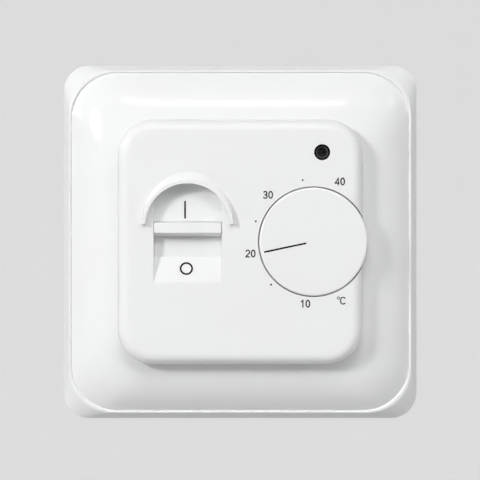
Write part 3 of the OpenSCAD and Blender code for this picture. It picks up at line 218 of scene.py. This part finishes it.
def windings():
    """Enamelled copper wire wound round the bobbin."""
    look = Look("copper_windings", (0.62, 0.32, 0.16), 0.3, metal=1.0)
    turns = look.nodes.new("ShaderNodeTexWave")
    turns.bands_direction = "Y"
    turns.inputs["Scale"].default_value = 1400
    look.links.new(look.place, turns.inputs["Vector"])
    look.bump(turns.outputs["Fac"], depth=0.00004, strength=0.8)
    look.vary_colour(look.noise(800, detail=4), amount=0.3, tint=(1.0, 0.9, 0.8))
    return look


def lens_black():
    """Dark glossy lens, with a trace of grain."""
    look = Look("lens_black", (0.02, 0.02, 0.022), 0.04, spec=0.35)
    look.bump(look.noise(260, detail=2), depth=0.00001, strength=0.3)
    look.vary_rough(look.noise(600), 0.05, 0.1)
    return look


def ink(name, colour, rough=0.55):
    """Pad-printed ink: a thin matt film with a slightly uneven density."""
    look = Look(name, colour, rough, spec=0.3)
    look.vary_colour(look.noise(2500, detail=4, rough=0.6), amount=0.12)
    look.bump(look.noise(6000), depth=0.000003, strength=0.5)
    look.vary_rough(look.noise(3000), rough * 0.85, rough * 1.1)
    return look


# The depth of a coarse grain, in metres
COARSE = 0.000006
white = moulded("white_housing", (0.935, 0.938, 0.94), 0.12)
looks = {
    "white_housing": white,
    "zinc_steel": metal("zinc_steel", (0.72, 0.73, 0.75), 0.34, brush=(1, 1, 9)),
    "brass_parts": metal("brass_parts", (0.82, 0.66, 0.36), 0.3, brush=(6, 1, 1)),
    "black_lens": lens_black(),
    "tinned_legs": metal("tinned_legs", (0.80, 0.80, 0.78), 0.28, brush=(1, 8, 1)),
    "ivory_plastic": moulded("ivory_plastic", (0.88, 0.85, 0.76), 0.42),
    "tray_plastic": moulded("tray_plastic", (0.90, 0.90, 0.885), 0.38, edge=0.0002, grain=2200,
                            depth=COARSE),
    "green_board": board(),
    "dark_plastic": moulded("dark_plastic", (0.14, 0.14, 0.15), 0.4, grain=2500, depth=COARSE),
    "brown_laminate": moulded("brown_laminate", (0.42, 0.27, 0.15), 0.5),
    "black_resin": moulded("black_resin", (0.09, 0.09, 0.10), 0.45, grain=2500, depth=COARSE),
    "resistor_body": moulded("resistor_body", (0.76, 0.62, 0.42), 0.35),
    "blue_plastic": moulded("blue_plastic", (0.12, 0.30, 0.66), 0.25),
    "relay_blue": moulded("relay_blue", (0.14, 0.40, 0.66), 0.3),
    "copper_coil": windings(),
    "yellow_plastic": moulded("yellow_plastic", (0.86, 0.70, 0.20), 0.32),
    "capacitor_sleeve": moulded("capacitor_sleeve", (0.12, 0.15, 0.32), 0.28),
}
# Painted shade: the slider gets a slightly darker copy of the housing white, toning down how brightly its
# grip's face catches the light
slider_shaded_white = moulded("slider_shaded_white", (0.915, 0.918, 0.92), 0.4)
# Painted reflection: a grey film on the black lens's ring, which the key light turns into the ring's bright
# arc at the lower right
painted_rim_glint = moulded("lens_rim", (0.45, 0.45, 0.46), 0.3, edge=0.00003)
scale_ink = ink("scale_ink", (0.04, 0.04, 0.045))
pointer_ink = ink("pointer_ink", (0.02, 0.02, 0.022))


# ------------------------------------------------------------------ CAD nodes
# Facets that meet at less than this many degrees are shaded as one surface
FACET_ANGLE = 28
# Points closer than this, in metres, are one point
SAME_POINT = 1e-7


def smoother():
    """Joins the split facets and keeps only real edges sharp."""
    group = bpy.data.node_groups.new("soft_facets", "GeometryNodeTree")
    group.interface.new_socket("Geometry", in_out="INPUT", socket_type="NodeSocketGeometry")
    group.interface.new_socket("Geometry", in_out="OUTPUT", socket_type="NodeSocketGeometry")
    start = group.nodes.new("NodeGroupInput")
    end = group.nodes.new("NodeGroupOutput")
    merge = group.nodes.new("GeometryNodeMergeByDistance")
    merge.inputs["Distance"].default_value = SAME_POINT
    angle = group.nodes.new("GeometryNodeInputMeshEdgeAngle")
    shallow = group.nodes.new("FunctionNodeCompare")
    shallow.data_type = "FLOAT"
    shallow.operation = "LESS_THAN"
    shallow.inputs[1].default_value = math.radians(FACET_ANGLE)
    faces = group.nodes.new("GeometryNodeSetShadeSmooth")
    faces.domain = "FACE"
    edges = group.nodes.new("GeometryNodeSetShadeSmooth")
    edges.domain = "EDGE"
    group.links.new(start.outputs[0], merge.inputs[0])
    group.links.new(merge.outputs[0], faces.inputs[0])
    group.links.new(faces.outputs[0], edges.inputs[0])
    group.links.new(angle.outputs["Unsigned Angle"], shallow.inputs[0])
    group.links.new(shallow.outputs[0], edges.inputs["Shade Smooth"])
    group.links.new(edges.outputs[0], end.inputs[0])
    return group


def dress(node, look, smooth):
    """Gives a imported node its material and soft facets. Its vertices stay as they are."""
    if node.data.has_custom_normals:
        bpy.context.view_layer.objects.active = node
        bpy.ops.mesh.customdata_custom_splitnormals_clear()
    node.data.materials.clear()
    node.data.materials.append(look.material)
    node.modifiers.new("soft", "NODES").node_group = smooth
    node.modifiers.new("weighted", "WEIGHTED_NORMAL").keep_sharp = True


smooth_facets = smoother()
slot_of = {part["node"]: part["material_slot"] for part in frame["record"]["subparts"]}
for name, node in nodes.items():
    # The slider's darker white is painted shade
    dress(node, slider_shaded_white if name == "switch_slider" else looks[slot_of[name]], smooth_facets)


# ------------------------------------------------------------------ new meshes
def at(x, up, out):
    """A point in the scene from mm: x to the right, up, and out from the wall."""
    return Vector((x * MM, -out * MM, up * MM))


def between(a, b, t):
    return a + (b - a) * t


def on_circle(x, z, r, degrees):
    return x + r * math.cos(math.radians(degrees)), z + r * math.sin(math.radians(degrees))


def link(name, mesh, look):
    """An object in the scene that shows this mesh in this look."""
    thing = bpy.data.objects.new(name, mesh)
    bpy.context.scene.collection.objects.link(thing)
    mesh.materials.append(look.material)
    return thing


def add(name, shape, look, body, sharp=None):
    """Turns a bmesh into a piece that rides on a body. Edges above the angle sharp stay hard."""
    mesh = bpy.data.meshes.new(name)
    shape.to_mesh(mesh)
    shape.free()
    if sharp:
        mesh.shade_smooth()
        mesh.set_sharp_from_angle(angle=math.radians(sharp))
    piece = link(name, mesh, look)
    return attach(piece, body)


def ring(half, r, out, arc_steps=14, side_steps=7):
    """The points of one rounded square, anticlockwise as seen from the front."""
    points = []
    corners = [(1, 1), (-1, 1), (-1, -1), (1, -1)]
    for k, (sx, sz) in enumerate(corners):
        centre = (sx * (half - r), sz * (half - r))
        points += [on_circle(*centre, r, 90 * k + 90 * i / arc_steps) for i in range(arc_steps + 1)]
        end = points[-1]
        nx, nz = corners[(k + 1) % 4]
        start = on_circle(nx * (half - r), nz * (half - r), r, 90 * (k + 1))
        for i in range(1, side_steps):
            t = i / side_steps
            points.append((between(end[0], start[0], t), between(end[1], start[1], t)))
    return [at(x, z, out) for x, z in points]


def lofted(name, levels, look, body):
    """A closed shell through rounded squares (half width, corner radius, height)."""
    shape = bmesh.new()
    rows = [[shape.verts.new(p) for p in ring(*level)] for level in levels]
    for a, b in zip(rows, rows[1:] + rows[:1]):
        for i in range(len(a)):
            j = (i + 1) % len(a)
            shape.faces.new((a[i], a[j], b[j], b[i]))
    bmesh.ops.recalc_face_normals(shape, faces=shape.faces)
    return add(name, shape, look, body, FACET_ANGLE)


# On turned pieces, edges above this many degrees stay hard
TURNED_ANGLE = 35


def turned(name, profile, x, z, look, body, n=48):
    """A turned piece: profile is a list of (radius, height) in mm, from the front to the back."""
    shape = bmesh.new()
    rows = []
    for r, out in profile:
        if r < TINY:
            rows.append([shape.verts.new(at(x, z, out))])
        else:
            rows.append([shape.verts.new(at(*on_circle(x, z, r, 360 * i / n), out)) for i in range(n)])
    for a, b in zip(rows, rows[1:]):
        for i in range(n):
            j = (i + 1) % n
            if len(a) == 1:
                shape.faces.new((a[0], b[i], b[j]))
            elif len(b) == 1:
                shape.faces.new((a[i], b[0], a[j]))
            else:
                shape.faces.new((a[i], b[i], b[j], a[j]))
    bmesh.ops.recalc_face_normals(shape, faces=shape.faces)
    return add(name, shape, look, body, TURNED_ANGLE)


# ------------------------------------------------------------------ trim frame
# Half widths, their corner radii, and heights above the wall, in mm
FRAME, FRAME_R = 40.0, 5.9
RIM, RIM_R, RIM_H = 38.68, 10.0, 3.0
DOME, DOME_R, DOME_FOOT, DOME_TOP = 38.15, 10.5, 2.65, 8.25
WINDOW, WINDOW_R = 27.53, 8.05
SEAT, SEAT_R, SEAT_H, SEAT_BACK = 26.2, 6.7, 3.0, 1.2
HOLLOW, HOLLOW_R, HOLLOW_H = 29.3, 9.8, 6.0
INNER, INNER_R, INNER_H = 36.6, 8.7, 1.2
HEEL = 38.2
# The groove's width at the dome's foot, and how far the edges are blended
GROOVE = 0.27
BLEND = 0.03
FOOT_BLEND_H = 0.05
RIM_BLEND, RIM_BLEND_H = 0.07, 0.01
# The heights on the leaning skirt where it has a row of points, as shares of the rim's height
SKIRT_ROWS = (0.25, 0.5, 0.75, 0.97)
# The dome's slope at its foot and at the window, in degrees, and the steps between them
DOME_SLOPE, WINDOW_SLOPE, DOME_STEPS = 47, 8, 28


def skirt():
    """From the wall up the leaning skirt, over the flat rim and down into the groove."""
    foot = [(FRAME - BLEND, FRAME_R - BLEND, 0.0), (FRAME, FRAME_R, FOOT_BLEND_H)]
    side = [(between(FRAME, RIM, t), between(FRAME_R, RIM_R, t), RIM_H * t) for t in SKIRT_ROWS]
    rim = [(RIM - BLEND, RIM_R, RIM_H - RIM_BLEND_H), (RIM - RIM_BLEND, RIM_R, RIM_H)]
    groove = [(DOME + GROOVE, DOME_R, RIM_H), (DOME + GROOVE - BLEND, DOME_R, RIM_H - BLEND)]
    return foot + side + rim + groove + [(DOME, DOME_R, DOME_FOOT)]


def dome():
    """A round arc from the groove up to the window."""
    outer, inner = math.radians(DOME_SLOPE), math.radians(WINDOW_SLOPE)
    levels = []
    for i in range(DOME_STEPS + 1):
        a = between(outer, inner, i / DOME_STEPS)
        inward = (math.sin(outer) - math.sin(a)) / (math.sin(outer) - math.sin(inner))
        rise = (math.cos(a) - math.cos(outer)) / (math.cos(inner) - math.cos(outer))
        half, corner = between(DOME, WINDOW, inward), between(DOME_R, WINDOW_R, inward)
        levels.append((half, corner, between(DOME_FOOT, DOME_TOP, rise)))
    return levels


def underside():
    """Down through the window to the cover's seat, and back under the dome to the wall."""
    window = [(WINDOW, WINDOW_R, SEAT_H)]
    seat = [(SEAT, SEAT_R, SEAT_H), (SEAT, SEAT_R, SEAT_BACK)]
    hollow = [(HOLLOW, HOLLOW_R, SEAT_BACK), (HOLLOW, HOLLOW_R, HOLLOW_H), (INNER, INNER_R, INNER_H)]
    return window + seat + hollow + [(HEEL, FRAME_R, 0.0)]


moulding = lofted("frame_moulding", skirt() + dome() + underside(), white, "housing")
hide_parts("trim_frame")

# ------------------------------------------------------------------ indicator lens
# A domed cap in a thin sloping ring, in mm. The drops are measured down from the lens's top.
lens_low, lens_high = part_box("indicator_lens")
LENS_X = (lens_low.x + lens_high.x) / 2 / MM
LENS_Z = (lens_low.z + lens_high.z) / 2 / MM
LENS_TOP, LENS_BACK = -lens_low.y / MM, -lens_high.y / MM
FLANGE_R = (lens_high.x - lens_low.x) / 2 / MM
FLANGE_H = 0.8
CAP_R, CAP_H = 1.08, 0.8
BARREL_R, LIP_R = 1.45, 1.36
SLOPE_FROM, SLOPE_TO = 1.12, 1.30
LIP_DROP, VALLEY_DROP = 0.90, 1.0


def lens_cap():
    """The dome, the valley round it, the ring with its sloping inner side, the barrel and the flange."""
    angles = [math.radians(a) for a in range(0, 91, 9)]
    cap = [(CAP_R * math.sin(a), LENS_TOP - CAP_H + CAP_H * math.cos(a)) for a in angles]
    lip = [(CAP_R, LENS_TOP - VALLEY_DROP), (SLOPE_FROM, LENS_TOP - VALLEY_DROP),
           (SLOPE_TO, LENS_TOP - LIP_DROP), (LIP_R, LENS_TOP - LIP_DROP), (BARREL_R, LENS_TOP - VALLEY_DROP)]
    flange = [(BARREL_R, LENS_BACK + FLANGE_H), (FLANGE_R, LENS_BACK + FLANGE_H), (FLANGE_R, LENS_BACK),
              (0, LENS_BACK)]
    return cap + lip + flange


def lens_glint_film():
    """A grey film over the ring's slope and lip, thinner at its edges and sunk in at both ends: a painted
    reflection on the black lens.
    """
    film, thin, lap = 0.02, 0.01, 0.03
    slope = [(SLOPE_FROM, LENS_TOP - VALLEY_DROP - film), (SLOPE_FROM + thin, LENS_TOP - VALLEY_DROP + thin),
             (SLOPE_TO - thin, LENS_TOP - LIP_DROP + film)]
    lip = [(SLOPE_TO + lap, LENS_TOP - LIP_DROP + thin),
           (SLOPE_TO + lap + thin, LENS_TOP - VALLEY_DROP - film)]
    return slope + lip


lens = turned("indicator_cap", lens_cap(), LENS_X, LENS_Z, looks["black_lens"], "housing")
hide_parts("indicator_lens")
# The ring's grey film is a painted reflection on the black lens
turned("indicator_glint_film", lens_glint_film(), LENS_X, LENS_Z, painted_rim_glint, "housing")

# ------------------------------------------------------------------ printed marks
# Heights of the cover's face and of the pocket's floor, and how far print stands above them
FACE, FLOOR = 12.45, 10.75
FILM = 0.03


def flat(name, outlines, look, out, body, tilt=None):
    """Thin printed patches: each outline is a list of (x, up) in mm."""
    shape = bmesh.new()
    for points in outlines:
        shape.faces.new([shape.verts.new(at(x, z, out + FILM)) for x, z in points])
    if tilt:
        shape.transform(tilt)
    bmesh.ops.recalc_face_normals(shape, faces=shape.faces)
    for face in shape.faces:
        if face.normal.y > 0:
            face.normal_flip()
    add(name, shape, look, body)


def arc(x, z, rx, rz, start, end, n):
    """Points along part of an ellipse, its angles in degrees."""
    angles = [math.radians(start + (end - start) * i / n) for i in range(n + 1)]
    return [(x + rx * math.cos(a), z + rz * math.sin(a)) for a in angles]


def disc(x, z, r, n=24):
    """The outline of a dot."""
    return [on_circle(x, z, r, 360 * i / n) for i in range(n)]


def annulus(x, z, r_in, r_out, n=48):
    """Quads round a flat ring."""
    quads = []
    for i in range(n):
        a, b = 360 * i / n, 360 * (i + 1) / n
        quads.append([on_circle(x, z, r, t) for r, t in ((r_in, a), (r_out, a), (r_out, b), (r_in, b))])
    return quads


# Plain line figures, one unit high: a list of strokes each. "d" is the degree sign.
FIGURES = {
    "0": [arc(0.30, 0.5, 0.235, 0.44, 90, 450, 28)],
    "1": [[(0.10, 0.745), (0.24, 0.82), (0.35, 0.94), (0.35, 0.0)]],
    "2": [arc(0.30, 0.68, 0.235, 0.26, 170, -25, 12) + [(0.10, 0.16), (0.06, 0.06), (0.56, 0.06)]],
    "3": [arc(0.29, 0.72, 0.20, 0.22, 165, -90, 12) + arc(0.29, 0.28, 0.235, 0.225, 90, -165, 14)],
    "4": [[(0.43, 0.0), (0.43, 0.92), (0.04, 0.29), (0.60, 0.29)]],
    "C": [arc(0.44, 0.5, 0.36, 0.44, 38, 322, 22)],
    "d": [arc(0.18, 0.86, 0.155, 0.16, 90, 450, 16)],
}
# How far a sign moves the next one along, and signs drawn with a thinner stroke
ADVANCE = {"C": 0.86, "d": 0.36}
DIGIT_ADVANCE = 0.70
THINNER = {"d": 0.6}
# In mm: the height of one unit, and the widths of the strokes
FIGURE_H, STROKE, UNIT_STROKE = 1.72, 0.27, 0.25
# A sharp bend's corner reaches out to at most the half width divided by this
MITRE_LIMIT = 0.45


def ribbon(points, width):
    """Quads along a line of points, with mitred bends."""
    closed = math.dist(points[0], points[-1]) < TINY
    if closed:
        points = points[:-1]
    n = len(points)
    left, right = [], []
    for i, (x, y) in enumerate(points):
        before = points[i - 1] if i or closed else None
        after = points[(i + 1) % n] if i < n - 1 or closed else None
        ways = [Vector((x - before[0], y - before[1])).normalized()] if before else []
        ways += [Vector((after[0] - x, after[1] - y)).normalized()] if after else []
        along = sum(ways, Vector((0, 0))).normalized()
        across = Vector((-along.y, along.x)) * width / 2 / max(MITRE_LIMIT, along.dot(ways[0]))
        left.append((x + across.x, y + across.y))
        right.append((x - across.x, y - across.y))
    last = n if closed else n - 1
    return [[left[i], right[i], right[(i + 1) % n], left[(i + 1) % n]] for i in range(last)]


def figures(name, label, x, z, stroke):
    """A label on the face, centred on a place."""
    quads, pen = [], 0.0
    for sign in label:
        for line in FIGURES[sign]:
            points = [((pen + a) * FIGURE_H, b * FIGURE_H) for a, b in line]
            quads += ribbon(points, stroke * THINNER.get(sign, 1.0))
        pen += ADVANCE.get(sign, DIGIT_ADVANCE)
    across = [p[0] for quad in quads for p in quad]
    upward = [p[1] for quad in quads for p in quad]
    dx = x - (min(across) + max(across)) / 2
    dz = z - (min(upward) + max(upward)) / 2
    placed = [[(a + dx, b + dz) for a, b in quad] for quad in quads]
    flat(name, placed, scale_ink, FACE, "housing")


# The scale lies round the dial: each place is (direction in degrees, distance) from the dial's axis
DIAL_X, DIAL_Z = 16.4, 0.0
DOT_R = 0.21
SCALE = {"10": (262.8, 13.95), "20": (190.6, 14.37), "30": (134.0, 14.64), "40": (66.5, 14.82)}
UNIT = (295.5, 14.61)
DOTS = [(225.4, 13.51), (160.4, 13.70), (99.7, 14.04)]


def round_dial(direction, distance):
    """A place on the face, from its direction and distance as seen from the dial's axis."""
    return on_circle(DIAL_X, DIAL_Z, distance, direction)


for label, place in SCALE.items():
    figures("scale_" + label, label, *round_dial(*place), STROKE)
figures("scale_unit", "dC", *round_dial(*UNIT), UNIT_STROKE)
flat("scale_dots", [disc(*round_dial(*place), DOT_R) for place in DOTS], scale_ink, FACE, "housing")

# The bar mark lies on the pocket's floor
ON_X, ON_Z, ON_HALF_W, ON_HALF_H = -12.4, 7.2, 0.19, 1.98
signs = ((-1, -1), (1, -1), (1, 1), (-1, 1))
bar = [(ON_X + sx * ON_HALF_W, ON_Z + sz * ON_HALF_H) for sx, sz in signs]
flat("mark_on", [bar], scale_ink, FLOOR, "housing")

# The ring mark lies on the ramp, which rises from the pocket's floor to the face
OFF_X, OFF_Z, OFF_R_IN, OFF_R_OUT = -12.1, -6.15, 1.09, 1.49
RAMP_START, RAMP_END = -3.4, -9.0
slope = math.atan2(FACE - FLOOR, RAMP_START - RAMP_END)
pivot = at(0, RAMP_START, FLOOR)
lean = Matrix.Translation(pivot) @ Matrix.Rotation(-slope, 4, "X") @ Matrix.Translation(-pivot)
flat("mark_off", annulus(OFF_X, OFF_Z, OFF_R_IN, OFF_R_OUT), scale_ink, FLOOR, "housing", lean)

# Paint in the dial's pointer groove, a little below the dial's face
POINTER_ANGLE, POINTER_HALF_W, PAINT_DROP = 192, 0.185, 0.07
POINTER_FROM, POINTER_TO = 1.65, 11.25


def along_pointer(r, aside):
    """A place beside the pointer's middle line, r from the dial's axis."""
    a = math.radians(POINTER_ANGLE)
    return DIAL_X + r * math.cos(a) - aside * math.sin(a), DIAL_Z + r * math.sin(a) + aside * math.cos(a)


line = [along_pointer(POINTER_FROM, -POINTER_HALF_W), along_pointer(POINTER_TO, -POINTER_HALF_W),
        along_pointer(POINTER_TO, POINTER_HALF_W), along_pointer(POINTER_FROM, POINTER_HALF_W)]
flat("pointer_paint", [line], pointer_ink, FACE - PAINT_DROP, "dial")

# ------------------------------------------------------------------ stage
# Places here are in metres
STAGE_HALF, STAGE_FLOOR, STAGE_BACK, STAGE_TOP = 5, -1.5, 2.2, 4
# How bright the paper looks, and the sky seen directly, in reflections and as light on the object
PAPER_GLOW = 0.36
SKY_SEEN, SKY_MIRRORED, SKY_LIGHT = 0.7, 0.08, 0.05


def plane(name, corners, look):
    mesh = bpy.data.meshes.new(name)
    mesh.from_pydata(corners, [], [(0, 1, 2, 3)])
    link(name, mesh, look)


paper = Look("studio_paper", (0.90, 0.90, 0.90), 0.9, spec=0.1)
paper.bump(paper.noise(40, detail=4), depth=0.0005, strength=0.2)
paper.vary_colour(paper.noise(3), amount=0.01)
paper.glow_when_seen(PAPER_GLOW)
back_edge = [(STAGE_HALF, STAGE_BACK, STAGE_FLOOR), (-STAGE_HALF, STAGE_BACK, STAGE_FLOOR)]
front_edge = [(-STAGE_HALF, -STAGE_HALF, STAGE_FLOOR), (STAGE_HALF, -STAGE_HALF, STAGE_FLOOR)]
top_edge = [(STAGE_HALF, STAGE_BACK, STAGE_TOP), (-STAGE_HALF, STAGE_BACK, STAGE_TOP)]
plane("studio_floor", front_edge + back_edge, paper)
plane("studio_backdrop", back_edge[::-1] + top_edge, paper)

scene = bpy.context.scene
world = bpy.data.worlds.new("studio")
scene.world = world
world.use_nodes = True
sky = world.node_tree.nodes["Background"]
sky.inputs["Color"].default_value = (1.0, 1.0, 1.0, 1.0)
sky_strength = seen_strength(world.node_tree, SKY_SEEN, SKY_MIRRORED, SKY_LIGHT)
world.node_tree.links.new(sky_strength, sky.inputs["Strength"])

# ------------------------------------------------------------------ lights
# Every panel faces the middle of the front
HERE = Vector((0, -0.012, 0))


def around(name, tilt, turn, far, width, height, power, sort="fill"):
    """A panel: tilt is its angle from straight in front, turn the way it tilts (0 right, 90 up).

    Its distance and sides are in metres and its power in watts. A fill only lights surfaces, a glint
    is only seen mirrored in them, and a lamp does both.
    """
    t, u = math.radians(tilt), math.radians(turn)
    away = Vector((math.sin(t) * math.cos(u), -math.cos(t), math.sin(t) * math.sin(u))) * far
    panel = bpy.data.lights.new(name, "AREA")
    panel.shape = "RECTANGLE"
    panel.size, panel.size_y = width, height
    panel.energy = power
    thing = bpy.data.objects.new(name, panel)
    scene.collection.objects.link(thing)
    thing.location = HERE + away
    thing.rotation_euler = (-away).to_track_quat("-Z", "Y").to_euler()
    thing.visible_camera = False
    thing.visible_glossy = sort != "fill"
    thing.visible_diffuse = sort != "glint"


around("key", 50, 150, 1.7, 0.3, 0.3, 16.0)
around("above", 45, 90, 1.7, 0.7, 0.7, 9.3)
around("above_right", 45, 45, 1.7, 0.7, 0.7, 5.9)
around("right_edge", 78, 6, 1.8, 0.7, 0.7, 8.2)
around("left_edge_low", 78, 200, 1.8, 0.7, 0.7, 7.3)
around("below", 30, 268, 1.7, 1.0, 1.0, 2.6)
around("strip", 43.5, 96, 1.7, 0.66, 0.2, 1.3, "lamp")
around("glint_key", 49.5, 164, 1.7, 0.36, 0.36, 2.8, "glint")
around("glint_left", 79, 163, 1.6, 0.22, 0.26, 1.5, "glint")
around("glint_right", 65, 36, 1.7, 0.2, 0.27, 0.75, "glint")
around("glint_near_top", 11, 90, 2.0, 0.5, 0.16, 1.2, "glint")
around("glint_near_left", 9, 180, 2.0, 0.16, 0.5, 1.2, "glint")
around("behind_left", 164, 180, 1.9, 0.4, 0.4, 5.0)
around("behind_above", 164, 90, 1.9, 0.4, 0.4, 5.0)

# ------------------------------------------------------------------ camera
# The photo's view: almost straight at the front, through a long lens from 1.2 m
FOCAL_MM, SENSOR_MM = 396.8, 36
CAMERA_AT = (-0.00005, -1.2, 0.00039)
camera = bpy.data.cameras.new("camera")
camera.sensor_width = SENSOR_MM
camera.lens = FOCAL_MM
camera.clip_start = 0.05
camera.clip_end = 20
eye = bpy.data.objects.new("camera", camera)
scene.collection.objects.link(eye)
eye.location = CAMERA_AT
eye.rotation_euler = (math.radians(90), 0, 0)
scene.camera = eye
scene.view_settings.view_transform = "Standard"
scene.view_settings.look = "None"
scene.cycles.use_denoising = True
